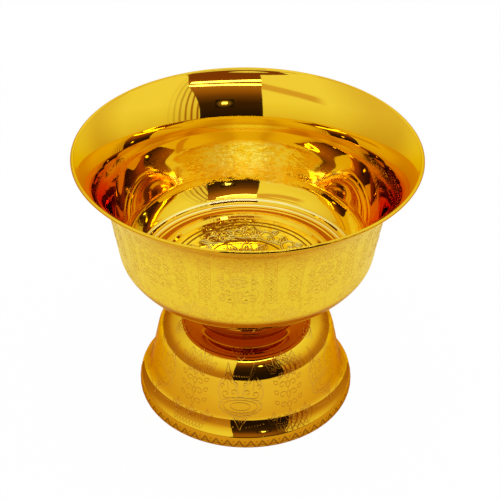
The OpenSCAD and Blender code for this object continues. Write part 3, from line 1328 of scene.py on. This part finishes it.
@dataclass
class BowlChasing:
    """Chased panels round the bowl's wall and the raised medallion on its floor."""

    outline: Outline
    sheet: float = 0.9
    wall_r: float = 60.0
    origin_z: float = 146.0
    panels: int = 10
    first: float = -3.4
    rise: float = 0.25
    petals: int = 12
    root_share: float = 0.6
    relief: float = 0.75
    bold: float = 1.6
    rings: tuple[Spot, ...] = ((11.6, 0.5), (27.6, 0.45), (45.6, 0.4), (49.2, 0.35))
    ring_w: float = 1.4
    ring_lean: float = 0.25
    ring_root: float = 0.2
    ring_shoulder: float = 0.7
    ring_steps: int = 96

    def panel(self) -> Motif:
        """One panel: a rosette among scrolls, between two narrow columns of lozenges.

        Returns:
            The drawing.
        """
        m = Motif(0.9)
        m.ring(0.0, 0.0, 2.1, points=10)
        for k in range(8):
            a = math.radians(45 * k)
            m.leaf(2.3 * math.cos(a), 2.3 * math.sin(a), 4.0, 2.6, 45 * k, rib=False)
        for sign in (1, -1):
            m.leaf(0.0, sign * 8.0, 9.5, 5.0, sign * 90)
            for x, y, r, start, turn in ((5.4, 9.4, 3.4, 210, -420), (9.2, 3.4, 2.7, 120, -380),
                                         (4.6, 16.0, 2.5, 180, -380), (9.6, 15.0, 2.4, 250, -360)):
                m.scroll(x, sign * y, r, sign * start, sign * turn, mirror=True)
            m.leaf(7.8, sign * 11.0, 5.2, 2.8, sign * 48, rib=False)
            m.leaf(-7.8, sign * 11.0, 5.2, 2.8, sign * 132, rib=False)
            m.bead(8.8, sign * 7.4, 0.6, mirror=True)
            m.bead(2.6, sign * 12.6, 0.5, mirror=True)
            m.bead(12.0, sign * 9.6, 0.6, mirror=True)
        m.leaf(7.6, 0.0, 4.8, 2.8, 0, rib=False)
        m.leaf(-7.6, 0.0, 4.8, 2.8, 180, rib=False)
        for x in (16.2, 23.4):
            m.line([(x, -19.0), (x, 0.0), (x, 19.5)], mirror=True, width=0.4)
        for y in (-16.2, -9.7, -3.2, 3.3, 9.8, 16.3):
            for x in (19.8, -19.8):
                m.line([(x - 3.0, y), (x, y + 2.9), (x + 3.0, y), (x, y - 2.9)], closed=True, width=0.5)
                m.bead(x, y, 0.8)
                m.bead(x - 2.5, y + 3.2, 0.5)
                m.bead(x + 2.5, y + 3.2, 0.5)
        return m

    def root(self) -> Motif:
        """Leaf spray on the cove, under the plain strip between two panels.

        Returns:
            The drawing.
        """
        m = Motif(0.9)
        m.leaf(0.0, -32.0, 11.0, 5.2, 90)
        m.leaf(2.4, -32.0, 9.5, 4.4, 58, hook=-0.1)
        m.leaf(-2.4, -32.0, 9.5, 4.4, 122, hook=0.1)
        m.leaf(4.6, -33.0, 8.5, 3.8, 26, hook=-0.12)
        m.leaf(-4.6, -33.0, 8.5, 3.8, 154, hook=0.12)
        m.beads([(-12.0, -34.6), (12.0, -34.6)], 0.55, 1.9)
        return m

    def petal(self) -> Motif:
        """One petal of the floor's rosette, which points outwards.

        Returns:
            The drawing.
        """
        m = Motif(1.1)
        m.leaf(0.0, 13.5, 13.0, 6.8, 90)
        m.leaf(0.0, 14.0, 8.0, 3.6, 90, rib=False, width_mm=0.8)
        m.bead(4.4, 23.5, 0.9)
        return m

    def scroll_spray(self) -> Motif:
        """One flowering scroll of the floor's outer ring.

        Returns:
            The drawing.
        """
        m = Motif(1.25)
        m.curve([(-8.6, 31.0), (-4.0, 29.6), (1.0, 31.4), (3.4, 35.2), (1.6, 39.2), (-2.4, 39.6),
                 (-4.2, 36.4), (-1.6, 34.4)], ends=(0.6, 0.7))
        m.leaf(3.2, 34.0, 8.4, 4.4, 62, hook=-0.12)
        m.leaf(-3.6, 38.4, 6.6, 3.8, 118, hook=0.1)
        m.leaf(-5.4, 30.4, 6.2, 3.6, 96, rib=False)
        m.leaf(2.2, 31.8, 5.8, 3.2, 20, rib=False)
        m.ring(7.2, 31.6, 1.5, points=9)
        m.bead(7.2, 31.6, 0.9)
        return m

    def make(self, finish: bpy.types.Material, floor_finish: bpy.types.Material) -> list[bpy.types.Object]:
        """Builds the ornament as a few pieces.

        Args:
            finish: Material of the wall's chasing.
            floor_finish: Material of the floor's medallion.

        Returns:
            The pieces.
        """
        origin = self.outline.length_at(lambda r, z: r > self.wall_r and z > self.origin_z)
        pitch, turn = 360 / self.panels, 360 / self.petals
        first = [self.first + pitch * k for k in range(self.panels)]
        between = [bearing + pitch / 2 for bearing in first]
        petals = [turn * k for k in range(self.petals)]
        scrolls = [bearing + turn / 3 for bearing in petals]
        made = []
        for name, motif, rise, bearings in (
                ("bowl_panels", self.panel(), self.rise, first),
                ("bowl_leaf_roots", self.root(), self.rise * self.root_share, between)):
            flat = motif.model(f"{name}_flat", rise)
            made.append(wrapped(name, flat, self.outline, origin, bearings, run=1.0, right=True))
        for name, motif, bearings in (("floor_petals", self.petal(), petals),
                                      ("floor_scrolls", self.scroll_spray(), scrolls)):
            flat = motif.model(f"{name}_flat", self.relief, self.bold)
            made.append(wrapped(name, flat, self.outline, 0.0, bearings, lift=self.sheet, run=1.0))
        level = self.outline.points[0].y + self.sheet
        for radius, high in self.rings:
            root, side, deep = self.ring_w / 2, self.ring_w / 2 - self.ring_lean, self.ring_root
            edge = high * self.ring_shoulder
            section = [Vector((radius + across, level + up)) for across, up in (
                (-root, -deep), (root, -deep), (side, edge), (0.0, high), (-side, edge))]
            made.append(spun(f"floor_ring_{round(radius)}", section, self.ring_steps))
        for piece in made:
            dress(piece, finish if piece.name.startswith("bowl") else floor_finish)
        return made


# ---- Studio --------------------------------------------------------------------------------------


class LampCard(NamedTuple):
    """Bright card that the metal mirrors: where it hangs, and how bright it is.

    Its bearings are degrees from the front, positive to the right. Its heights are metres.
    """

    name: str
    reach: float
    azimuth: Spot
    first: Spot
    last: Spot
    tint: Colour
    strength: float


@dataclass
class Studio:
    """Floor, camera, plain light and the cards that the metal mirrors. Lengths are metres."""

    rim: float = 0.11
    lens: float = 96.55
    sensor: float = 36.0
    back: float = 6.511
    height: float = 5.620
    pitch: float = 35.45
    yaw: float = 0.17
    roll: float = 0.62
    eye: float = 0.12
    tent_r: float = 0.335
    tent_h: float = 1.10
    tent_columns: int = 73
    tent_rows: int = 23
    room_r: float = 0.81
    room_azimuth: Spot = (-62.0, 84.0)
    room_z: Spot = (-0.1, 2.40)
    beyond_y: float = 0.32
    beyond_sides: tuple[float, ...] = (-0.3, 0.3, 1.0)
    card_lift: float = 0.001
    plain_light: float = 0.75
    overhead_power: float = 6.0
    overhead_size: float = 1.2
    overhead_at: Place = (0.1, -0.1, 1.4)
    floor_size: float = 6.0
    floor_tint: Colour = (0.93, 0.93, 0.93)
    floor_glow: float = 0.25
    floor_seen_glow: float = 0.73
    right_edge: tuple[Spot, ...] = ((0.0, -14.0), (0.3, -13.0), (0.6, -12.7), (0.96, -15.0))
    left_edge: tuple[Spot, ...] = (
        (0.0, 42.0), (0.32, 42.5), (0.41, 45.0), (0.52, 50.0), (0.67, 60.0), (0.96, 73.0), (1.10, 78.0))
    side_tint: Colour = (0.80, 0.66, 0.55)
    side_share: float = 0.85
    side_left: Spot = (-125.0, -70.0)
    side_right: Spot = (110.0, 145.0)
    side_back: Spot = (140.0, 165.0)
    # Painted shade in the folds at the opening's left edge.
    fold_shade: Colour = (0.42, 0.19, 0.10)
    fold_share: float = 0.85
    fold_from: Spot = (30.0, 40.0)
    fold_to: Spot = (50.0, 78.0)
    fold_turn: float = 1.15
    fold_lean: float = 0.02
    fold_edge: Spot = (0.5, 0.95)
    # Painted shade of the shaded fold along the tent's top edge.
    hem_shade: Colour = (0.72, 0.42, 0.34)
    hem_share: float = 0.8
    hem_from: Spot = (-75.0, -60.0)
    hem_to: Spot = (-12.0, -6.0)
    hem_rise: float = 0.24
    hem_elevation: float = 62.0
    hem_edge: Spot = (2.0, 5.0)
    lamp_azimuth: float = 19.9
    lamp_z: float = 0.485
    glow_tint: Colour = (0.34, 0.22, 0.13)
    glow_reach: float = 0.57
    glow_half: Spot = (8.0, 0.08)
    glow_degree: float = 0.01
    glow_fade: Spot = (0.015, 0.08)
    # Painted shade: the tent is dark and golden near the table and pale higher up.
    cloth_shading: tuple[tuple[float, Colour], ...] = (
        (0.00, (0.48, 0.22, 0.06)), (0.05, (0.49, 0.235, 0.07)), (0.10, (0.55, 0.28, 0.08)),
        (0.15, (0.73, 0.48, 0.17)), (0.20, (0.85, 0.70, 0.30)), (0.26, (0.89, 0.82, 0.42)),
        (0.33, (0.95, 0.91, 0.55)), (0.42, (1.0, 1.0, 0.75)), (1.10, (1.0, 1.0, 0.90)))
    # Painted shadow and light on the table that the metal mirrors: dark and golden near the foot, cream
    # further out, darker far off.
    table: tuple[tuple[float, Colour], ...] = (
        (0.066, (0.46, 0.23, 0.05)), (0.09, (0.70, 0.42, 0.13)), (0.11, (0.76, 0.50, 0.18)),
        (0.16, (0.86, 0.68, 0.34)), (0.24, (0.92, 0.80, 0.50)), (0.36, (0.70, 0.46, 0.20)),
        (0.60, (0.6, 0.4, 0.2)))
    room: tuple[tuple[float, Colour], ...] = (
        (-0.10, (0.012, 0.006, 0.003)), (0.30, (0.02, 0.010, 0.006)), (0.62, (0.05, 0.022, 0.012)),
        (0.80, (0.15, 0.058, 0.02)), (1.00, (0.34, 0.135, 0.05)), (1.20, (0.46, 0.20, 0.10)),
        (1.45, (0.40, 0.16, 0.07)), (1.65, (0.24, 0.065, 0.02)), (2.40, (0.22, 0.06, 0.02)))
    lamps: tuple[LampCard, ...] = (
        LampCard("strip_lamp_high", 0.79, (-16.0, 56.0), (1.49, 1.60), (1.35, 1.44), (0.9, 0.95, 1.0), 7.0),
        LampCard("strip_lamp_low", 0.79, (-16.0, 56.0), (1.23, 1.32), (1.21, 1.28), (0.9, 0.95, 1.0), 6.5),
        LampCard("small_lamp", 0.56, (17.6, 22.2), (0.465, 0.505), (0.465, 0.505), (1.0, 0.95, 0.85), 5.0))

    def camera(self) -> None:
        """Sets the camera by its place in mouth radii and its pitch, yaw and roll."""
        pitch, yaw, roll = (math.radians(a) for a in (self.pitch, self.yaw, self.roll))
        ahead = Vector((math.sin(yaw) * math.cos(pitch), math.cos(yaw) * math.cos(pitch), -math.sin(pitch)))
        right = Vector((math.cos(yaw), -math.sin(yaw), 0.0))
        up = right.cross(ahead)
        across = right * math.cos(roll) + up * math.sin(roll)
        upright = up * math.cos(roll) - right * math.sin(roll)
        data = bpy.data.cameras.new("camera")
        data.lens = self.lens
        data.sensor_width = self.sensor
        camera = bpy.data.objects.new("camera", data)
        turn = Matrix((across, upright, -ahead)).transposed().to_4x4()
        spot = Vector((0.0, -self.back * self.rim, self.height * self.rim))
        camera.matrix_world = Matrix.Translation(spot) @ turn
        bpy.context.scene.collection.objects.link(camera)
        bpy.context.scene.camera = camera

    def world(self) -> None:
        """White surroundings: full white for what is seen or mirrored, plain light for the rest."""
        world = bpy.data.worlds.new("white_room")
        bpy.context.scene.world = world
        shader = Shader(world)
        path = shader.node("ShaderNodeLightPath", output="Is Camera Ray")
        glossy = Wire(shader, path.socket.node.outputs["Is Glossy Ray"])
        passing = Wire(shader, path.socket.node.outputs["Is Transmission Ray"])
        seen = path.maximum(glossy).maximum(passing)
        shader.finish(shader.node("ShaderNodeBackground", inputs={
            "Color": (*WHITE, 1.0), "Strength": self.plain_light + seen * (1 - self.plain_light)}))

    def floor(self) -> None:
        """Pale floor that keeps a soft shadow, and that the metal mirrors as a cream table with a painted
        shadow, dark and golden, about the foot.
        """
        clear_selection()
        bpy.ops.mesh.primitive_plane_add(size=self.floor_size, location=(0, 0, 0))
        floor = bpy.context.object
        floor.name = "studio_floor"
        material = bpy.data.materials.new("pale_floor")
        shader = Shader(material)
        path = shader.node("ShaderNodeLightPath", output="Is Camera Ray")
        glossy = Wire(shader, path.socket.node.outputs["Is Glossy Ray"])
        _, x, y, _ = shader.place()
        # Painted shadow: the mirrored table is dark and golden near the foot.
        table = shader.ramp((x * x + y * y).root(), self.table)
        mirrored = shader.node("ShaderNodeEmission", inputs={"Color": table, "Strength": 1.0})
        glow = shader.node("ShaderNodeEmission", inputs={"Color": (*WHITE, 1.0), "Strength": 1.0})
        matt = shader.node("ShaderNodeBsdfDiffuse", inputs={"Color": (*self.floor_tint, 1.0)})
        share = path * self.floor_seen_glow + self.floor_glow
        seen = shader.node("ShaderNodeMixShader", inputs={0: share, 1: matt, 2: glow})
        above = shader.node("ShaderNodeMixShader", inputs={0: glossy, 1: seen, 2: mirrored})
        below = shader.node("ShaderNodeNewGeometry", output="Backfacing")
        shader.finish(shader.node("ShaderNodeMixShader", inputs={
            0: below, 1: above, 2: shader.node("ShaderNodeBsdfTransparent")}))
        floor.data.materials.append(material)

    def card(self, name: str, rows: Sequence[Sequence[Place]],
             paint: "Callable[[Shader, Wire, Wire, Wire], Wire | Colour]", strength: float = 1.0) -> None:
        """Curved card that only mirrored rays see.

        Args:
            name: Name of the card.
            rows: Rows of corners of its grid.
            paint: Gives its colour, from its bearing and its elevation in degrees and its height.
            strength: Its brightness.
        """
        columns = len(rows[0])
        faces = [(i * columns + j, i * columns + j + 1, (i + 1) * columns + j + 1, (i + 1) * columns + j)
                 for i in range(len(rows) - 1) for j in range(columns - 1)]
        mesh = bpy.data.meshes.new(name)
        mesh.from_pydata([spot for row in rows for spot in row], [], faces)
        card = bpy.data.objects.new(name, mesh)
        bpy.context.scene.collection.objects.link(card)
        material = bpy.data.materials.new(name)
        shader = Shader(material)
        _, x, y, z = shader.place()
        colour = paint(shader, x.bearing(y * -1), (z - self.eye).bearing((x * x + y * y).root()), z)
        shader.finish(shader.node("ShaderNodeEmission", inputs={
            "Color": colour if isinstance(colour, Wire) else (*colour, 1), "Strength": strength}))
        mesh.materials.append(material)
        for ray in ("camera", "diffuse", "shadow", "transmission", "volume_scatter"):
            setattr(card, f"visible_{ray}", False)

    def band(self, reach: float, azimuth: Spot, first: Spot, last: Spot,
             columns: int = 25) -> list[list[Place]]:
        """Grid of one band on an upright round wall.

        Args:
            reach: Radius of the wall.
            azimuth: First and last bearing from the front, positive to the right, in degrees.
            first: Heights of the band's edges at its first bearing.
            last: Heights of the band's edges at its last bearing.
            columns: Corners in a row.

        Returns:
            Its lower and its upper row.
        """
        shares = [j / (columns - 1) for j in range(columns)]
        turn = azimuth[1] - azimuth[0]
        return [[self.spot(reach, azimuth[0] + turn * t, a + (b - a) * t) for t in shares]
                for a, b in zip(first, last)]

    @staticmethod
    def spot(reach: float, azimuth: float, height: float) -> Place:
        """Place at a bearing from the front and a height."""
        turn = math.radians(azimuth)
        return reach * math.sin(turn), -reach * math.cos(turn), height

    def wall(self) -> list[list[Place]]:
        """Grid on the tent's upright wall, all round but for its opening, whose edges lean.

        Returns:
            Its rows, from the table up.
        """
        rows = []
        for i in range(self.tent_rows):
            height = self.tent_h * i / (self.tent_rows - 1)
            left, right = (float(np.interp(height, *zip(*e))) for e in (self.left_edge, self.right_edge))
            turn = (360.0 + right - left) / (self.tent_columns - 1)
            rows.append([self.spot(self.tent_r, left + turn * j, height) for j in range(self.tent_columns)])
        return rows

    def tent_paint(self, shader: Shader, azimuth: Wire, elevation: Wire, height: Wire) -> Wire:
        """The tent's fabric, painted with its light and shade: dark and golden near the table, dimmer on both
        sides, shaded folds at the opening's left edge and a shaded fold along its top edge.

        Args:
            shader: Node tree that it is made in.
            azimuth: Bearing from the front, in degrees.
            elevation: Elevation, in degrees.
            height: Height, in metres.

        Returns:
            The colour.
        """
        # Painted shade: dark and golden near the table.
        cloth_shading = shader.ramp(height, self.cloth_shading)
        back = azimuth.size().smooth(*self.side_back)
        sides = (1 - azimuth.smooth(*self.side_left)).maximum(azimuth.smooth(*self.side_right)) * (1 - back)
        cloth_shading = shader.mix(sides * self.side_share, cloth_shading, self.side_tint, Blend.MULTIPLY)
        # Painted shade in the folds by the opening's left edge.
        near = (1 - azimuth.smooth(*self.fold_to)) * azimuth.smooth(*self.fold_from)
        folds = (azimuth * self.fold_turn + elevation * self.fold_lean).wave() * 0.5 + 0.5
        folded = folds.smooth(*self.fold_edge) * self.fold_share + (1 - self.fold_share)
        cloth_shading = shader.mix(near * folded, cloth_shading, self.fold_shade, Blend.MULTIPLY)
        # Painted shade along the tent's top edge.
        aside = (elevation - azimuth * self.hem_rise - self.hem_elevation).size()
        hem = (1 - aside.smooth(*self.hem_edge)) * azimuth.smooth(*self.hem_from) * (
            1 - azimuth.smooth(*self.hem_to))
        return shader.mix(hem * self.hem_share, cloth_shading, self.hem_shade, Blend.MULTIPLY)

    def room_paint(self, shader: Shader, azimuth: Wire, elevation: Wire, height: Wire) -> Wire:
        """Room beyond the tent's opening: black low down, brown higher up."""
        return shader.ramp(height, self.room)

    def glow_paint(self, shader: Shader, azimuth: Wire, elevation: Wire, height: Wire) -> Wire:
        """Soft round glow about the small lamp.

        Args:
            shader: Node tree that it is made in.
            azimuth: Bearing from the front, in degrees.
            elevation: Elevation, in degrees; not used.
            height: Height, in metres.

        Returns:
            The colour.
        """
        aside, up = (azimuth - self.lamp_azimuth) * self.glow_degree, height - self.lamp_z
        far = (aside * aside + up * up).root().smooth(*self.glow_fade)
        return shader.mix(far, self.glow_tint, self.room[1][1])

    def lamp(self) -> None:
        """Soft overhead light for the floor and the matt parts."""
        data = bpy.data.lights.new("overhead", "AREA")
        data.energy = self.overhead_power
        data.size = self.overhead_size
        lamp = bpy.data.objects.new("overhead", data)
        lamp.location = self.overhead_at
        lamp.visible_glossy = False
        bpy.context.scene.collection.objects.link(lamp)

    def make(self) -> None:
        """Builds the studio."""
        self.camera()
        self.world()
        self.floor()
        self.lamp()
        self.card("tent", self.wall(), self.tent_paint)
        room = self.band(self.room_r, self.room_azimuth, self.room_z, self.room_z)
        self.card("room", room, self.room_paint)
        self.card("beyond_table", [[(y * side, -y, self.card_lift) for side in self.beyond_sides]
                                   for y in (self.beyond_y, self.beyond_y * 1.5, self.room_r)],
                  lambda *_: self.room[0][1])
        for lamp in self.lamps:
            self.card(lamp.name, self.band(lamp.reach, lamp.azimuth, lamp.first, lamp.last),
                      lambda *_: lamp.tint, lamp.strength)
        azimuth, heights = ((at - half, at + half) for at, half in zip((self.lamp_azimuth, self.lamp_z),
                                                                       self.glow_half))
        self.card("lamp_glow", self.band(self.glow_reach, azimuth, heights, heights), self.glow_paint)


def main() -> None:
    """Builds the scene."""
    logging.basicConfig(level=logging.INFO, format="%(name)s: %(message)s")
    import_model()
    scene = bpy.context.scene
    scene.view_settings.view_transform = "Standard"
    scene.cycles.glossy_bounces = GLOSSY_BOUNCES
    scene.cycles.max_bounces = BOUNCES
    Studio().make()
    metals = {finish: finish.value.make() for finish in Finish}
    mouth = min(abs(v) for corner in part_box("bowl_shell") for v in corner[:2])
    bowl, foot = Bowl(rim_r=mouth / MM), Foot()
    sheets = {"bowl_shell": bowl.make(metals[Finish.PRESSED], metals[Finish.PEBBLED]),
              "foot_shell": foot.make(metals[Finish.PLATED]),
              "neck_spool": Neck().make(metals[Finish.NECK])}
    for node, piece in sheets.items():
        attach(piece, "root")
        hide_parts(node)
    ornament = FootChasing(foot.outline()).make(metals[Finish.CHASED], metals[Finish.BAND_CHASED])
    ornament += BowlChasing(bowl.outline()).make(metals[Finish.WALL_CHASED], metals[Finish.RELIEF])
    for piece in ornament:
        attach(piece, "root")
    for piece in [*sheets.values(), *ornament]:
        LOG.info("%s: %d faces", piece.name, len(piece.data.polygons))
    for node, finish in (("stud_plate", Finish.BRASS), ("clamp_rod", Finish.STEEL),
                         ("clamp_dish", Finish.PLATED), ("spring_washer", Finish.STEEL),
                         ("hex_nut", Finish.STEEL)):
        for slot in bpy.data.objects[node].material_slots:
            slot.material = metals[finish]


if __name__ == "__main__":
    main()
